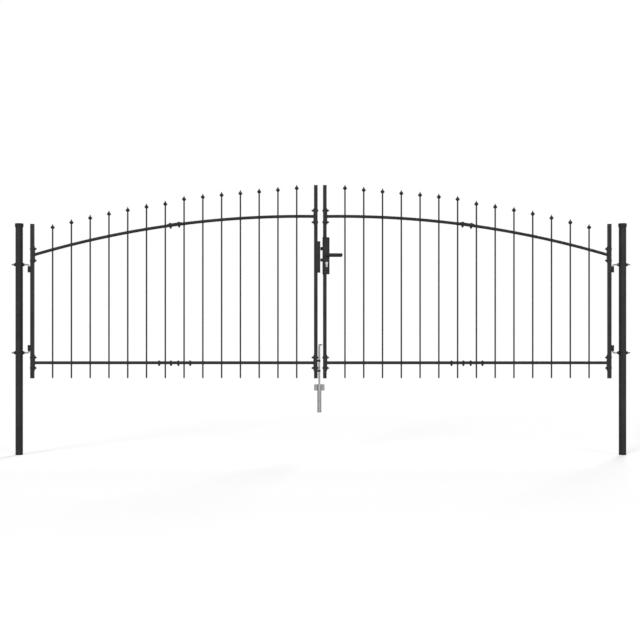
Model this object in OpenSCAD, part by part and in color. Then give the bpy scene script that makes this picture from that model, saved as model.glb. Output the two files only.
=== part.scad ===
// Double-leaf driveway gate with an arched top rail, spear-headed pickets and two round posts.
// Millimetres. The origin is the centre of the left post's foot, +X runs along the gate,
// +Y leads away from the viewer and +Z is up.

/* [Gate] */
// Width over both posts
gate_w = 4000; // [3700:10:4300]
// Height of the leaves' lower ends over the post foot
leaf_z = 501; // [470:1:530]

/* [Posts] */
// Diameter of the post tube
post_d = 48; // [45:0.5:52]
// Wall of the post tube
post_wall = 2; // [1.5:0.1:3]
// Rise of the post tube's top over the outer stiles' tops
post_rise = 0; // [-20:1:60]
// Height of the plastic foot under the tube
foot_h = 12; // [6:1:20]
// Diameter of the post cap
cap_d = 55; // [53:0.5:60]
// Height of the post cap
cap_h = 24; // [16:1:30]
// Thickness of the cap's top
cap_top_t = 4; // [3:0.5:6]

/* [Hinges] */
// Distance from the post's axis to the hinge axis
hinge_reach = 64; // [58:0.5:72]
// Distance from the hinge axis to the middle of the outer stile
hinge_offset = 22; // [21:0.5:26]
// Diameter of the threaded hinge rod
hinge_rod_d = 10; // [8:0.5:10]
// Bend radius of the hinge rod, at its middle
hinge_bend_r = 11; // [9:0.5:14]
// Drop from the outer stile's top to the upper hinge rod
upper_hinge_drop = 266.5; // [255:0.5:290]
// Rise from the bottom rail to the lower hinge rod
lower_hinge_rise = 65.5; // [60:0.5:90]
// Outside diameter of the hinge sleeves
sleeve_d = 18; // [16:0.5:19]
// Length of the hinge sleeves
sleeve_len = 39; // [30:1:45]
// Width of the hinge nuts across their flats
nut_af = 17; // [15:0.5:19]
// Thickness of the hinge nuts
nut_t = 8; // [6:0.5:10]
// Diameter of the washers under the nuts
washer_d = 24; // [20:0.5:26]
// Thread that stands out past the outer nut
thread_out = 15; // [8:1:20]

/* [Leaf frames] */
// Width of the square stiles
stile_w = 24; // [22:0.5:26]
// Wall of the square stiles
stile_wall = 1.5; // [1.2:0.1:2]
// Height of the inner stiles' tops
inner_stile_top = 1766; // [1700:1:1900]
// Drop from the inner stiles' tops to the outer stiles' tops
stile_step = 254; // [240:1:270]
// Distance from the gate's middle to the left inner stile
keep_stile_u = 33; // [31:0.5:36]
// Distance from the gate's middle to the right inner stile
lock_stile_u = 26; // [25:0.5:29]
// Height of the plugs' heads at the stiles' ends
plug_h = 6; // [3:0.5:10]

/* [Panels] */
// Pickets in each half panel
pickets = 7; // [6:1:7]
// Distance from the outer stile to the first picket
first_gap = 133; // [125:0.5:140]
// Distance from the gate's middle to the innermost picket
last_u = 158; // [150:1:170]
// Diameter of the pickets
picket_d = 10; // [8:0.5:12]
// Diameter of the bottom rail
rail_d = 20; // [16:0.5:22]
// Rise from the leaves' lower ends to the bottom rail
rail_rise = 102; // [90:1:115]
// Diameter of the arched rail
arch_d = 20; // [16:0.5:20]
// Radius of the arched rail
arch_r = 6240; // [6100:10:6500]
// Drop from the inner stiles' tops to the arch's highest point
arch_drop = 204; // [190:1:220]
// Distance from the gate's middle to the arch's highest point
arch_top_u = 123; // [80:1:150]
// Rise of the spear tips over the arch in the outer panels
outer_tip_rise = 170; // [150:1:190]
// Rise of the spear tips over the arch where the inner panels begin
inner_tip_rise = 185; // [160:1:200]
// Further rise of the tips towards the gate's middle
inner_tip_gain = 24; // [0:1:40]
// Width of a spear head
spear_w = 28; // [20:0.5:30]
// Height of a spear head
spear_h = 38; // [30:0.5:44]
// Height of the plates at the rails' ends
flange_h = 105; // [90:1:115]
// Thickness of the plates at the rails' ends
flange_t = 4; // [4:0.1:5]
// Length of the saddle over the arch's splice
saddle_len = 92; // [80:1:110]
// Thickness of the saddle
saddle_t = 3; // [2:0.5:4]

/* [Lock] */
// Drop from the arch's highest point to the lock case's top
lock_drop = 138; // [130:1:150]
// Height of the lock case
lock_h = 241; // [230:1:250]
// Width of the lock case
lock_w = 46.5; // [44:0.5:50]
// Reach of the lock case past the stile's middle, towards the keep
lock_reach = 15.7; // [14:0.1:16]
// Depth of the lock case and of the keep
lock_depth = 34; // [32:1:40]
// Drop from the lock case's top to the lever's spindle
lever_drop = 116; // [112:1:120]
// Distance from the stile's middle to the spindle
spindle_off = 9; // [6:0.5:11]
// Length of the lever from its spindle
lever_len = 107; // [90:1:110]
// Thickness of the lever
lever_d = 19; // [16:0.5:20]
// Distance from the gate's plane to the lever's middle
lever_out = 50; // [45:1:60]
// Drop from the lock case's top to the latch bolt's middle
latch_drop = 74; // [68:1:78]
// Drop from the lock case's top to the dead bolt's middle
dead_drop = 148; // [146:0.5:149]
// Height of the latch bolt
latch_h = 22; // [18:0.5:24]
// Height of the dead bolt
dead_h = 20; // [16:0.5:20]
// Thickness of both bolts
bolt_t = 12; // [10:0.5:14]
// Room between the bolts' ends and the keep
bolt_gap = 1; // [0.8:0.1:2]
// Travel of the bolts into the lock case
bolt_draw = 12; // [10:0.5:13]
// Height of the lock cylinder
cylinder_h = 33; // [30:0.5:34]
// Width of the lock cylinder's round part
cylinder_d = 17; // [16:0.5:18]
// Drop from the dead bolt's middle to the middle of the lock cylinder's round part
cylinder_drop = 21.5; // [21:0.5:24]
// Distance from the stile's middle to the lock cylinder
cylinder_off = 12.5; // [10:0.5:15]

/* [Keep] */
// Drop from the lock case's top to the keep's top
keep_drop = 26; // [20:1:34]
// Height of the keep
keep_h = 205; // [195:1:215]
// Width of the keep from the stile's middle
keep_w = 29.4; // [28:0.1:31]
// Depth of the keep's pockets
pocket_deep = 14; // [12:0.5:15]
// Room around the bolts in the keep's pockets
pocket_room = 2.5; // [2:0.1:3]

/* [Drop bolt] */
// Diameter of the drop rod
drop_d = 12; // [10:0.5:12]
// Distance from the left inner stile's middle to the drop rod
drop_off = 22.9; // [22:0.1:24]
// Rise from the bottom rail to the drop rod's handle arm
drop_rise = 118; // [100:1:130]
// Reach of the handle arm
drop_arm = 32; // [24:1:32]
// Turn of the handle arm towards the back
drop_turn = 60; // [60:1:90]
// Bend radius of the handle arm, at its middle
drop_bend = 10; // [8:0.5:14]
// Rise from the bottom rail to the upper guide's middle
upper_guide_rise = 13; // [8:1:20]
// Drop from the bottom rail to the lower guide's middle
lower_guide_drop = 53; // [46:1:60]
// Height of the guides
guide_h = 13; // [10:0.5:16]

/* [Ground socket] */
// Drop from the leaves' lower ends to the socket's mouth
socket_drop = 39; // [30:1:50]
// Length of the socket
socket_len = 184; // [150:1:200]
// Outside diameter of the socket
socket_d = 27; // [25:0.5:30]
// Bore of the socket
socket_bore = 21; // [19:0.5:22]
// Width over the socket's wings
wing_w = 69; // [60:1:80]
// Height of the wings
wing_h = 41; // [30:1:50]
// Thickness of the wings
wing_t = 4; // [3:0.5:6]

/* [Hidden] */
$fn = 48;
// Fragments of a whole turn of the wide arch
arch_fn = 1440;
// Sides of a hexagon nut
hex = 6;

// Running room round pins and rods
run_gap = 0.2;
// Overlap of cutters with the faces that they open
cut = 1;

// Black powder coat, zinc plate, black plastic, nickel plate and black zinc plate
coat = "#2b2b2c";
zinc = "#a9abac";
plastic = "#191a1b";
nickel = "#c9c8c4";
black_zinc = "#1d1d1e";

// Places along the gate, as distances u from its middle
post_u = (gate_w - post_d) / 2;
mid_x = post_u;
pin_u = post_u - hinge_reach;
outer_stile_u = pin_u - hinge_offset;
first_u = outer_stile_u - first_gap;
pitch = (first_u - last_u) / (2 * pickets - 1);
splice_u = (picket_u(pickets - 1) + picket_u(pickets)) / 2;
half_stile = stile_w / 2;

// Heights over the post foot
rail_z = leaf_z + rail_rise;
outer_stile_top = inner_stile_top - stile_step;
post_h = outer_stile_top + post_rise;
arch_top = inner_stile_top - arch_drop;
upper_hinge_z = outer_stile_top - upper_hinge_drop;
lower_hinge_z = rail_z + lower_hinge_rise;
lock_top = arch_top - lock_drop;
lock_z = lock_top - lock_h;
lever_z = lock_top - lever_drop;
latch_z = lock_top - latch_drop;
dead_z = lock_top - dead_drop;
cylinder_z = dead_z - cylinder_drop;
keep_z = lock_top - keep_drop - keep_h;
drop_top = rail_z + drop_rise;
upper_guide_z = rail_z + upper_guide_rise;
lower_guide_z = rail_z - lower_guide_drop;
socket_top = leaf_z - socket_drop;

outer_seat_u = outer_stile_u - half_stile;
// Gap between the two halves of a rail
splice_gap = 0.6;
// Rails end inside their plates
weld_deep = 1;

// Room between the hinge rod's bend and its sleeve
sleeve_gap = 0.6;
washer_t = 2;
nut_out = post_d / 2 + washer_t + nut_t;

// Places of the lock, in distances from the gate's middle towards the right
lock_x = lock_stile_u - lock_reach;
keep_face_x = keep_w - keep_stile_u;
bolt_tip_x = keep_face_x + bolt_gap;
spindle_x = lock_stile_u + spindle_off;
cylinder_x = lock_stile_u + cylinder_off;
drop_x = drop_off - keep_stile_u;
// Slopes beside the lock case's raised front and back
bevel_w = 9;
bevel_d = (lock_depth - stile_w) / 2;
// Bolts reach this far into the case
bolt_tail = 21;
spindle_d = 10;
// Lever's neck, and how far the cylinder stands out of the case
neck_d = 15;
cylinder_out = 3;
cylinder_web = 10;

function picket_u(i) = first_u - i * pitch;
function arch_angle(u) = asin((u - arch_top_u) / arch_r);
function arch_z(u) = arch_top - arch_r * (1 - cos(arch_angle(u)));
// Spear tips follow the arch, and lift away from it towards the gate's middle
function inner_share(i) = (i - pickets) / (pickets - 1);
function tip_rise(i) = i < pickets ? outer_tip_rise : inner_tip_rise + inner_tip_gain * pow(inner_share(i), 3);

// Places a piece that is drawn on distances from the gate's middle
module on_right() { translate([mid_x, 0, 0]) children(); }
module on_left() { translate([mid_x, 0, 0]) mirror([1, 0, 0]) children(); }

module along_x(x0, x1, d) {
    translate([x0, 0, 0]) rotate([0, 90, 0]) cylinder(h = x1 - x0, d = d);
}

module block(low, high) { translate(low) cube(high - low); }

// Outline of a square tube with rounded corners
module tube_outline(w, r) {
    square([w - 2 * r, w], center = true);
    square([w, w - 2 * r], center = true);
    for (sx = [-1, 1], sy = [-1, 1]) translate([sx * (w / 2 - r), sy * (w / 2 - r)]) circle(r);
}

module post() {
    color(coat) difference() {
        translate([0, 0, foot_h]) cylinder(h = post_h - foot_h, d = post_d);
        cylinder(h = post_h + cut, d = post_d - 2 * post_wall);
        for (z = [upper_hinge_z, lower_hinge_z]) translate([0, 0, z])
            along_x(-post_d, post_d, hinge_rod_d + 2 * run_gap);
    }
}

// Cup over the post's end, with a sloped upper edge
module post_cap() {
    bore_r = post_d / 2 + run_gap;
    top = post_h + cap_top_t;
    slope = cap_top_t * 0.75;
    color(plastic) rotate_extrude() polygon([
        [0, post_h], [bore_r, post_h], [bore_r, top - cap_h], [cap_d / 2, top - cap_h],
        [cap_d / 2, top - slope], [cap_d / 2 - slope, top], [0, top]
    ]);
}

module post_foot() {
    spigot_d = post_d - 2 * post_wall - 2 * run_gap;
    color(plastic) {
        cylinder(h = foot_h, d = post_d);
        cylinder(h = 3 * foot_h, d = spigot_d);
    }
}

// L-shaped hinge rod, drawn at height 0 with its pin bent down
module hinge_bolt_down() {
    pin_len = sleeve_gap + sleeve_len;
    along_x(pin_u + hinge_bend_r, post_u + nut_out + thread_out, hinge_rod_d);
    translate([pin_u + hinge_bend_r, 0, -hinge_bend_r]) rotate([90, 0, 0]) rotate([0, 0, 90])
        rotate_extrude(angle = 90) translate([hinge_bend_r, 0]) circle(d = hinge_rod_d);
    translate([pin_u, 0, -hinge_bend_r - pin_len]) cylinder(h = pin_len, d = hinge_rod_d);
}

module upper_hinge_bolt() { color(zinc) translate([0, 0, upper_hinge_z]) hinge_bolt_down(); }

module lower_hinge_bolt() {
    color(zinc) translate([0, 0, lower_hinge_z]) mirror([0, 0, 1]) hinge_bolt_down();
}

// Nut with its washer, drawn outwards from the post's face along +X
module hinge_nut() {
    seat = post_d / 2;
    difference() {
        union() {
            along_x(seat, seat + washer_t, washer_d);
            translate([seat + washer_t, 0, 0]) rotate([0, 90, 0])
                cylinder(h = nut_t, d = nut_af / cos(180 / hex), $fn = hex);
        }
        along_x(seat - cut, nut_out + cut, hinge_rod_d + run_gap);
    }
}

module hinge_nuts() {
    color(black_zinc) for (z = [upper_hinge_z, lower_hinge_z], side = [0, 1])
        translate([post_u, 0, z]) mirror([side, 0, 0]) hinge_nut();
}

// Sleeve with the weld that joins it to the stile, drawn upwards from height 0
module hinge_sleeve() {
    difference() {
        union() {
            translate([pin_u, 0, 0]) cylinder(h = sleeve_len, d = sleeve_d);
            block([outer_stile_u + half_stile, -stile_w / 5, 0], [pin_u, stile_w / 5, sleeve_len]);
        }
        translate([pin_u, 0, -cut]) cylinder(h = sleeve_len + 2 * cut, d = hinge_rod_d + 2 * run_gap);
    }
}

module hinge_sleeves() {
    lift = hinge_bend_r + sleeve_gap;
    color(coat) {
        translate([0, 0, upper_hinge_z - lift - sleeve_len]) hinge_sleeve();
        translate([0, 0, lower_hinge_z + lift]) hinge_sleeve();
    }
}

module square_tube(u, z0, z1) {
    translate([u, 0, z0]) linear_extrude(z1 - z0) difference() {
        tube_outline(stile_w, stile_wall);
        square(stile_w - 2 * stile_wall, center = true);
    }
}

module outer_stile() { color(coat) square_tube(outer_stile_u, leaf_z + plug_h, outer_stile_top - plug_h); }

module left_inner_stile() {
    color(coat) square_tube(keep_stile_u, leaf_z + plug_h, inner_stile_top - plug_h);
}

// The lock case is welded between the two lengths of this stile
module right_inner_stile() {
    color(coat) {
        square_tube(lock_stile_u, leaf_z + plug_h, lock_z);
        square_tube(lock_stile_u, lock_top, inner_stile_top - plug_h);
    }
}

// Plug for a tube's lower end, drawn with its head's underside at height 0
module tube_plug() {
    linear_extrude(plug_h) tube_outline(stile_w, stile_wall);
    linear_extrude(3 * plug_h) square(stile_w - 2 * stile_wall - 2 * run_gap, center = true);
}

module stile_plugs(inner_u) {
    color(plastic) {
        for (u = [outer_stile_u, inner_u]) translate([u, 0, leaf_z]) tube_plug();
        translate([outer_stile_u, 0, outer_stile_top]) mirror([0, 0, 1]) tube_plug();
        translate([inner_u, 0, inner_stile_top]) mirror([0, 0, 1]) tube_plug();
    }
}

// Sweeps a profile along the arch from u0 to u1
module arch_sweep(u0, u1) {
    translate([arch_top_u, 0, arch_top - arch_r]) rotate([90, 0, 0]) rotate([0, 0, 90 - arch_angle(u1)])
        rotate_extrude(angle = arch_angle(u1) - arch_angle(u0), $fn = arch_fn)
            translate([arch_r, 0]) children();
}

// Round bar with a blunted foot and a spear head
module picket(i) {
    bar_r = picket_d / 2;
    u = picket_u(i);
    tip = arch_z(u) + tip_rise(i);
    wide_z = tip - spear_h * 0.66;
    neck_z = tip - spear_h;
    shoulder = spear_h * 0.04;
    translate([u, 0, 0]) rotate_extrude() polygon([
        [0, leaf_z], [bar_r * 0.5, leaf_z], [bar_r, leaf_z + bar_r], [bar_r, neck_z - bar_r],
        [bar_r * 0.85, neck_z], [spear_w / 2, wide_z - shoulder], [spear_w / 2, wide_z + shoulder],
        [spear_w * 0.16, tip - spear_h * 0.3], [0, tip]
    ]);
}

// Plate that bolts a rail's end to a stile
module flange(u, z) {
    block([u, -half_stile, z - flange_h / 2], [u + flange_t, half_stile, z + flange_h / 2]);
}

module half_panel(u0, u1, first) {
    arch_sweep(u0, u1) circle(d = arch_d);
    translate([0, 0, rail_z]) along_x(u0, u1, rail_d);
    for (i = [first : first + pickets - 1]) picket(i);
}

module outer_panel() {
    seat = outer_seat_u - flange_t;
    color(coat) {
        half_panel(splice_u + splice_gap / 2, seat + weld_deep, 0);
        flange(seat, arch_z(seat));
        flange(seat, rail_z);
    }
}

module inner_panel(inner_u) {
    seat = inner_u + half_stile;
    color(coat) {
        half_panel(seat + flange_t - weld_deep, splice_u - splice_gap / 2, pickets);
        flange(seat, arch_z(seat));
        flange(seat, rail_z);
    }
}

// Half shell over the joint of the arch's two halves
module arch_splice() {
    inner_r = arch_d / 2 + run_gap;
    color(coat) arch_sweep(splice_u - saddle_len / 2, splice_u + saddle_len / 2) intersection() {
        difference() {
            circle(inner_r + saddle_t);
            circle(inner_r);
        }
        translate([0, -arch_d]) square([arch_d, 2 * arch_d]);
    }
}

// Slot for a bolt that leaves the lock case towards the keep
module bolt_slot(z, h) {
    room = 0.4;
    block(
        [lock_x - cut, -bolt_t / 2 - room, z - h / 2 - room],
        [lock_x + bolt_tail + bolt_draw + cut, bolt_t / 2 + room, z + h / 2 + room]
    );
}

module cylinder_outline(grow) {
    foot = cylinder_h - cylinder_d / 2;
    circle(d = cylinder_d + 2 * grow);
    translate([-cylinder_web / 2 - grow, -foot - grow]) square([cylinder_web + 2 * grow, foot + grow]);
}

module lock_case() {
    deep = lock_depth / 2;
    far_x = lock_x + lock_w;
    color(coat) difference() {
        translate([0, 0, lock_z]) linear_extrude(lock_h) polygon([
            [lock_x, -half_stile], [lock_x + bevel_w, -deep], [far_x - bevel_w, -deep], [far_x, bevel_d - deep],
            [far_x, deep - bevel_d], [far_x - bevel_w, deep], [lock_x + bevel_w, deep], [lock_x, half_stile]
        ]);
        bolt_slot(latch_z, latch_h);
        bolt_slot(dead_z, dead_h);
        translate([spindle_x, deep + cut, lever_z]) rotate([90, 0, 0])
            cylinder(h = lock_depth + 2 * cut, d = spindle_d + 2 * run_gap);
        translate([cylinder_x, deep + cut, cylinder_z]) rotate([90, 0, 0])
            linear_extrude(lock_depth + 2 * cut) cylinder_outline(run_gap);
    }
}

module lock_cylinder() {
    deep = lock_depth / 2 + cylinder_out;
    color(nickel) translate([cylinder_x, deep, cylinder_z]) rotate([90, 0, 0])
        linear_extrude(2 * deep) cylinder_outline(0);
}

// Lever with its neck and half of the spindle, drawn on the front
module lever() {
    seat = lock_depth / 2 + cut;
    color(coat) translate([spindle_x, 0, lever_z]) {
        rotate([90, 0, 0]) cylinder(h = lever_out, d = spindle_d);
        translate([0, -seat, 0]) rotate([90, 0, 0]) cylinder(h = lever_out - seat, d = neck_d);
        translate([0, -lever_out, 0]) {
            sphere(d = lever_d);
            along_x(0, lever_len - lever_d / 2, lever_d);
            translate([lever_len - lever_d / 2, 0, 0]) sphere(d = lever_d);
        }
    }
}

// Latch bolt with a slope on the side that meets the keep first
module latch_bolt() {
    slope = bolt_t * 0.7;
    color(black_zinc) translate([0, 0, latch_z - latch_h / 2]) linear_extrude(latch_h) polygon([
        [bolt_tip_x, bolt_t / 2], [bolt_tip_x, bolt_t / 2 - 3], [bolt_tip_x + slope, -bolt_t / 2],
        [lock_x + bolt_tail, -bolt_t / 2], [lock_x + bolt_tail, bolt_t / 2]
    ]);
}

module dead_bolt() {
    color(black_zinc) block(
        [bolt_tip_x, -bolt_t / 2, dead_z - dead_h / 2],
        [lock_x + bolt_tail, bolt_t / 2, dead_z + dead_h / 2]
    );
}

// Pocket in the keep's face for a bolt
module pocket(z, h) {
    wide = bolt_t / 2 + pocket_room;
    tall = h / 2 + pocket_room;
    block([keep_face_x - pocket_deep, -wide, z - tall], [keep_face_x + cut, wide, z + tall]);
}

module lock_keep() {
    deep = lock_depth / 2;
    color(coat) difference() {
        block([-keep_stile_u, -deep, keep_z], [keep_face_x, deep, keep_z + keep_h]);
        block(
            [-keep_stile_u - cut, -half_stile, keep_z - cut],
            [half_stile - keep_stile_u, half_stile, keep_z + keep_h + cut]
        );
        pocket(latch_z, latch_h);
        pocket(dead_z, dead_h);
    }
}

module drop_bolt_guides() {
    eye_r = drop_d / 2 + 2;
    color(coat) for (z = [upper_guide_z, lower_guide_z]) translate([0, 0, z - guide_h / 2]) difference() {
        union() {
            translate([drop_x, 0, 0]) cylinder(h = guide_h, r = eye_r);
            block([half_stile - keep_stile_u, -eye_r / 2, 0], [drop_x, eye_r / 2, guide_h]);
        }
        translate([drop_x, 0, -cut]) cylinder(h = guide_h + 2 * cut, d = drop_d + 2 * run_gap);
    }
}

// Rod with a bent handle arm. Its end stands just over the socket's mouth
module drop_rod() {
    foot_z = socket_top + 2;
    shank = drop_top - drop_bend - foot_z;
    color(zinc) translate([drop_x, 0, foot_z]) {
        cylinder(h = shank, d = drop_d);
        translate([0, 0, shank]) rotate([0, 0, drop_turn]) {
            translate([drop_bend, 0, 0]) rotate([90, 0, 0]) rotate([0, 0, 90])
                rotate_extrude(angle = 90) translate([drop_bend, 0]) circle(d = drop_d);
            translate([0, 0, drop_bend]) along_x(drop_bend, drop_arm, drop_d);
        }
    }
}

// Ground tube with an anchor wing on each side
module ground_socket() {
    color(zinc) translate([drop_x, 0, 0]) difference() {
        union() {
            translate([0, 0, socket_top - socket_len]) cylinder(h = socket_len, d = socket_d);
            block([-wing_w / 2, -wing_t / 2, socket_top - wing_h], [wing_w / 2, wing_t / 2, socket_top]);
        }
        translate([0, 0, socket_top - socket_len - cut])
            cylinder(h = socket_len + 2 * cut, d = socket_bore);
    }
}

post();  // left_post
translate([2 * post_u, 0, 0]) post();  // right_post
post_cap();  // left_post_cap
translate([2 * post_u, 0, 0]) post_cap();  // right_post_cap
post_foot();  // left_post_foot
translate([2 * post_u, 0, 0]) post_foot();  // right_post_foot
on_left() upper_hinge_bolt();  // left_upper_hinge_bolt
on_left() lower_hinge_bolt();  // left_lower_hinge_bolt
on_right() upper_hinge_bolt();  // right_upper_hinge_bolt
on_right() lower_hinge_bolt();  // right_lower_hinge_bolt
on_left() hinge_nuts();  // left_hinge_nuts
on_right() hinge_nuts();  // right_hinge_nuts
on_right() ground_socket();
on_left() outer_stile();  // left_outer_stile
on_left() left_inner_stile();
on_left() stile_plugs(keep_stile_u);  // left_stile_plugs
on_left() hinge_sleeves();  // left_hinge_sleeves
on_left() outer_panel();  // left_outer_panel
on_left() inner_panel(keep_stile_u);  // left_inner_panel
on_left() arch_splice();  // left_arch_splice
on_right() lock_keep();
on_right() drop_bolt_guides();
on_right() outer_stile();  // right_outer_stile
on_right() right_inner_stile();
on_right() stile_plugs(lock_stile_u);  // right_stile_plugs
on_right() hinge_sleeves();  // right_hinge_sleeves
on_right() outer_panel();  // right_outer_panel
on_right() inner_panel(lock_stile_u);  // right_inner_panel
on_right() arch_splice();  // right_arch_splice
on_right() lock_case();
on_right() lock_cylinder();
on_right() lever();  // lever_front
on_right() mirror([0, 1, 0]) lever();  // lever_back
on_right() latch_bolt();
on_right() dead_bolt();
on_right() drop_rod();
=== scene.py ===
"""Looks of a double-leaf driveway gate: finishes, bolts, threads, welds and lock faces, in a plain studio."""

import math

import bmesh
import bpy
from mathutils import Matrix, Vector


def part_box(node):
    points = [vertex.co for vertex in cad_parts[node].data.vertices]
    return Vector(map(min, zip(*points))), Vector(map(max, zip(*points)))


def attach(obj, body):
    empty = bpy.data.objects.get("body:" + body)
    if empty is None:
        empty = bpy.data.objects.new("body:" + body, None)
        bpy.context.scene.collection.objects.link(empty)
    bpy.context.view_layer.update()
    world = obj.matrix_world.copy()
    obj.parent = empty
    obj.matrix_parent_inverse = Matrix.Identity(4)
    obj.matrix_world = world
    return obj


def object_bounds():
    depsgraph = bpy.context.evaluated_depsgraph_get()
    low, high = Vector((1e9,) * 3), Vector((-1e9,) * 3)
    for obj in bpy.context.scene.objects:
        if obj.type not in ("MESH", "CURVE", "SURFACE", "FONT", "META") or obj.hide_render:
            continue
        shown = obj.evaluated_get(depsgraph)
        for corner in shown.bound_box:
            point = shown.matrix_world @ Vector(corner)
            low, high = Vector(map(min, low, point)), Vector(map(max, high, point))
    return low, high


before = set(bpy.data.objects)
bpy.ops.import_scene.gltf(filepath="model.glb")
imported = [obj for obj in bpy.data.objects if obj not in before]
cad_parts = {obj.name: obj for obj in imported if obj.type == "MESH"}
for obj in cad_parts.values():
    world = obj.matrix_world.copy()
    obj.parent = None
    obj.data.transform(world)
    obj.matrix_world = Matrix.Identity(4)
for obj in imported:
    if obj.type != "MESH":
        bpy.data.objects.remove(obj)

bl_info = {
    "name": "Driveway gate looks",
    "version": (1, 0, 0),
    "blender": (4, 5, 0),
    "location": "3D View > Sidebar > Gate",
    "description": "Dresses a double-leaf driveway gate and sets up a plain studio for it",
    "category": "Object",
}

CAD_LOW, CAD_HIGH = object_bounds()
MM = 0.001

# Which CAD nodes wear which finish
FINISH_NODES = {
    "black_powder_coat": [
        "left_post", "right_post",
        "left_outer_stile", "left_inner_stile", "left_hinge_sleeves",
        "left_outer_panel", "left_inner_panel", "left_arch_splice", "lock_keep", "drop_bolt_guides",
        "right_outer_stile", "right_inner_stile", "right_hinge_sleeves",
        "right_outer_panel", "right_inner_panel", "right_arch_splice", "lock_case",
        "lever_front", "lever_back",
    ],
    "black_plastic": [
        "left_post_cap", "right_post_cap", "left_post_foot", "right_post_foot",
        "left_stile_plugs", "right_stile_plugs",
    ],
    "zinc_plate": [
        "left_upper_hinge_bolt", "left_lower_hinge_bolt", "right_upper_hinge_bolt", "right_lower_hinge_bolt",
        "ground_socket", "drop_rod",
    ],
    "nickel_plate": ["lock_cylinder"],
    # The latch and dead bolts get this near-black metal rather than nickel, so that they look dark between
    # the keep and the case
    "black_zinc": ["latch_bolt", "dead_bolt", "left_hinge_nuts", "right_hinge_nuts"],
}


def linear(hex_colour):
    """Linear red, green and blue of an sRGB hex colour."""
    parts = [int(hex_colour[i:i + 2], 16) / 255 for i in (1, 3, 5)]
    return tuple(p / 12.92 if p <= 0.04045 else ((p + 0.055) / 1.055) ** 2.4 for p in parts)


def feed(tree, node, links):
    """Feeds a node's inputs, by name or number, with values, outputs or other nodes' first outputs."""
    for place, value in links.items():
        if isinstance(value, bpy.types.Node):
            value = value.outputs[0]
        if isinstance(value, bpy.types.NodeSocket):
            tree.links.new(value, node.inputs[place])
        else:
            node.inputs[place].default_value = value


def add_node(tree, kind, links=None, **settings):
    """Adds one node with its settings and links."""
    made = tree.nodes.new(kind)
    for name, value in settings.items():
        setattr(made, name, value)
    feed(tree, made, links or {})
    return made


# Sizes and colours


def length(name, description, low, high, default):
    """Length property, given in millimetres and held in metres."""
    return bpy.props.FloatProperty(
        name=name, description=description, unit="LENGTH", min=low * MM, max=high * MM, default=default * MM,
    )


def colour(name, description, hex_colour):
    """Colour property, given as an sRGB hex value and held as linear red, green and blue."""
    return bpy.props.FloatVectorProperty(
        name=name, description=description, subtype="COLOR", size=3, min=0, max=1, default=linear(hex_colour),
    )


class GateFinishes(bpy.types.PropertyGroup):
    """Colours of the gate's finishes."""

    coat: colour("Powder coat", "Colour of the black powder coat", "#18181a")
    coat_thin: colour("Thin powder coat", "Colour of the powder coat where its film is thinner", "#262627")
    plastic: colour("Cap plastic", "Colour of the moulded caps, feet and plugs", "#0e0e0f")
    zinc: colour("Zinc plate", "Colour of the zinc-plated rods and of the ground socket", "#8b8b8c")
    zinc_cloud: colour("Clouded zinc", "Colour of the duller clouds in the zinc plate", "#7f7f80")
    nickel: colour("Nickel plate", "Colour of the nickel-plated lock parts", "#b3b2af")
    # Also the colour of the latch and dead bolts, which are given this near-black metal rather than nickel
    fastener: colour("Black zinc", "Colour of the black-passivated bolts and nuts", "#131314")


class GateFasteners(bpy.types.PropertyGroup):
    """Sizes of the bolts, threads and welds."""

    head_d: length("Head diameter", "Diameter of the domed bolt heads", 8, 30, 17)
    head_h: length("Head height", "Height of the domed bolt heads", 1, 8, 4.4)
    bolt_d: length("Bolt diameter", "Outside diameter of the bolts' thread", 4, 12, 8)
    nut_af: length("Nut width", "Width of the nuts across their flats", 8, 20, 13)
    nut_h: length("Nut height", "Height of the nuts", 3, 12, 6.5)
    washer_d: length("Washer diameter", "Outside diameter of the washers under the nuts", 8, 30, 16)
    washer_t: length("Washer thickness", "Thickness of the washers under the nuts", 0.5, 3, 1.4)
    end_out: length("Bolt end", "Thread that stands out past the nuts", 1, 20, 4.6)
    bolt_pitch: length("Bolt pitch", "Thread pitch of the bolts", 0.5, 3, 1.25)
    arch_bolt_gap: length(
        "Arch plate bolts", "Distance of the bolts from the arched rail in its end plates", 20, 50, 38,
    )
    rail_bolt_gap: length(
        "Bottom plate bolts", "Distance of the bolts from the bottom rail in its end plates", 20, 50, 34.5,
    )
    saddle_bolt_gap: length(
        "Saddle bolts", "Distance of the saddle's bolts from the arch's joint", 10, 50, 28,
    )
    splice_near: length(
        "Near splice bolts", "Distance of the nearer bolts from the bottom rail's joint", 10, 50, 24,
    )
    splice_far: length(
        "Far splice bolts", "Distance of the farther bolts from the bottom rail's joint", 70, 120, 101.5,
    )
    rod_pitch: length("Hinge rod pitch", "Thread pitch of the hinge rods", 1, 3, 1.5)
    rod_ridge: length("Hinge rod ridge", "Height of the thread over the hinge rods", 0.2, 1, 0.55)
    bead_r: length("Weld bead", "Radius of the weld beads round the pickets", 0.5, 3, 1.3)
    seam_r: length(
        "Seam weld", "Radius of the seam welds at the hinge sleeves, the lock, the keep and the guides",
        1, 3, 1.9,
    )
    seam_ripple: length("Seam ripple", "Distance between the ripples of the seam welds", 1, 6, 2.6)
    stitch: length("Stitch weld", "Length of each of the keep's stitch welds", 10, 60, 32)


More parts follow.
